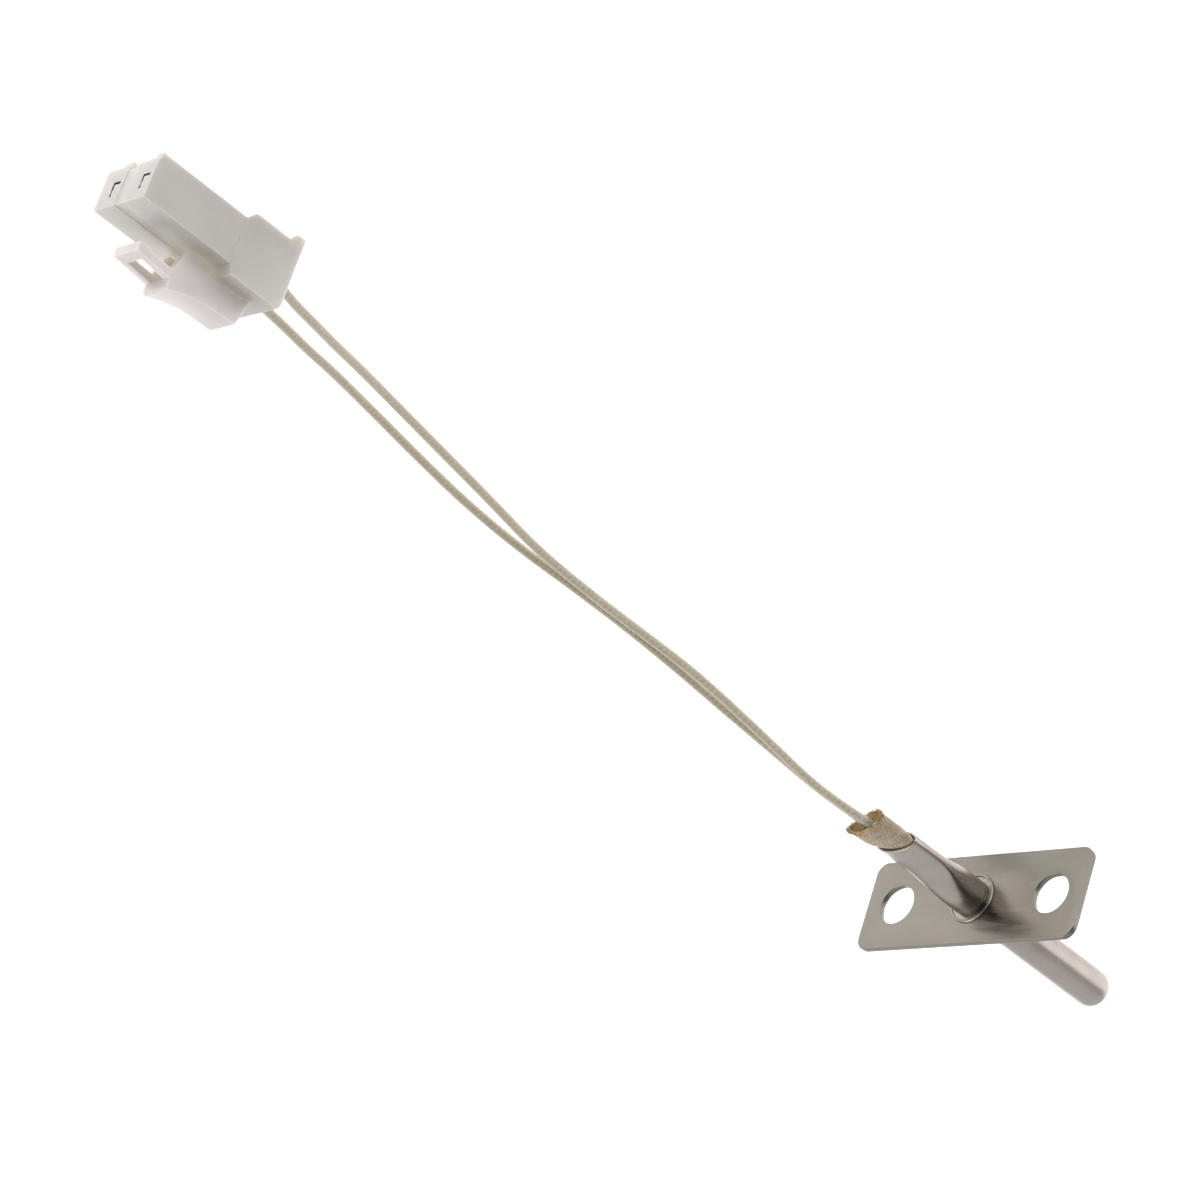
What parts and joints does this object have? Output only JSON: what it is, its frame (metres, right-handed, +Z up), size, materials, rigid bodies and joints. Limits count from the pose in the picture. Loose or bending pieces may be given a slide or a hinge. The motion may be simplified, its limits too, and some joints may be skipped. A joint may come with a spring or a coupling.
{
  "type": "flange-mounted temperature probe",
  "caption": "Closed-end metal sheath temperature probe on a bolted flange plate, with braided leads to a latching plug",
  "frame": {"origin": "centre of the flange plate's mounting face, on the sheath tube's axis", "axes": "+X along the tube towards its closed tip; +Y along the flange plate's long side; +Z up, along the plate's short side. The plate stands on its lower long edge and the plug lies on the same surface."},
  "size_m": [0.2175, 0.042, 0.0158],
  "materials": {
    "steel_tube": "satin, lengthwise polish, darkened at the mouth",
    "steel_plate": "satin sheet, punched edges",
    "cement": "matt, fired powder",
    "ceramic": "matt, fired",
    "element": "glazed",
    "wire": "drawn",
    "tinned": "tin plate on brass",
    "sleeve": "woven glass yarn, frayed at the cut end",
    "lead_braid": "braided glass yarn, varnished",
    "nylon": "moulded, uncoloured"
  },
  "bodies": {
    "probe": {"sheath_tube": "steel_tube", "flange_plate": "steel_plate", "braze_ring": "steel_plate", "tip_filling": "cement", "sensing_element": "element", "element_wire_a": "wire", "element_wire_b": "wire", "insulator_rod": "ceramic", "splice_barrel_a": "tinned", "splice_barrel_b": "tinned", "splice_sleeve_a": "sleeve", "splice_sleeve_b": "sleeve", "lead_a_inner_end": "lead_braid", "lead_b_inner_end": "lead_braid", "lead_a_bared_core": "wire", "lead_b_bared_core": "wire", "woven_sleeve": "sleeve", "lead_a": "lead_braid", "lead_b": "lead_braid", "plug_housing": "nylon", "terminal_a": "tinned", "terminal_b": "tinned", "lead_a_plug_end": "lead_braid", "lead_b_plug_end": "lead_braid"},
    "latch": {"plug_latch": "nylon"}
  },
  "joints": [
    {"name": "latch_flex", "type": "hinge", "parent": "probe", "child": "latch", "pos_m": [-0.1659, 0.0134, 0.00335], "axis": [0, 1, 0], "range_deg": [-2, 6], "stiffness_Nm_per_rad": 0.004}
  ]
}
